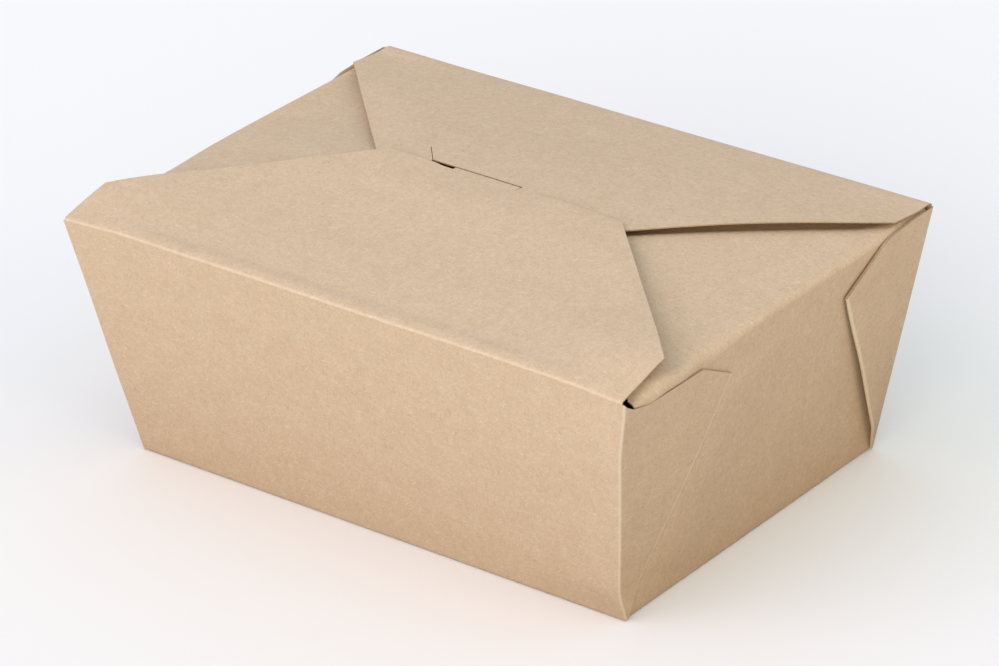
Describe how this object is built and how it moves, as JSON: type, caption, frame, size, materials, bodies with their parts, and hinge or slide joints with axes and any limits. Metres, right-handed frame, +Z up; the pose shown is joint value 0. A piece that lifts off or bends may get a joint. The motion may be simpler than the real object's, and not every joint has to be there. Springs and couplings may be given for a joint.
{
  "type": "takeaway box",
  "caption": "Closed kraft board takeaway box with leaning walls, corner webs folded flat on its ends and an arched lid of flaps locked by a tab in a slit.",
  "frame": {"origin": "middle of the underside, on the surface that the box stands on", "axes": "+Z up, +X along the box's length, the front long wall with the hinged flap faces -Y"},
  "size_m": [0.226, 0.164, 0.0944],
  "materials": {
    "kraft_board": "uncoated kraft board, matt, fine fibres"
  },
  "bodies": {
    "carton": {"carton": "kraft_board"},
    "front_flap": {"front_flap": "kraft_board"}
  },
  "joints": [
    {"name": "front_flap_fold", "type": "hinge", "parent": "carton", "child": "front_flap", "pos_m": [0, -0.082, 0.08725], "axis": [1, 0, 0], "range_deg": [0, 180]}
  ]
}
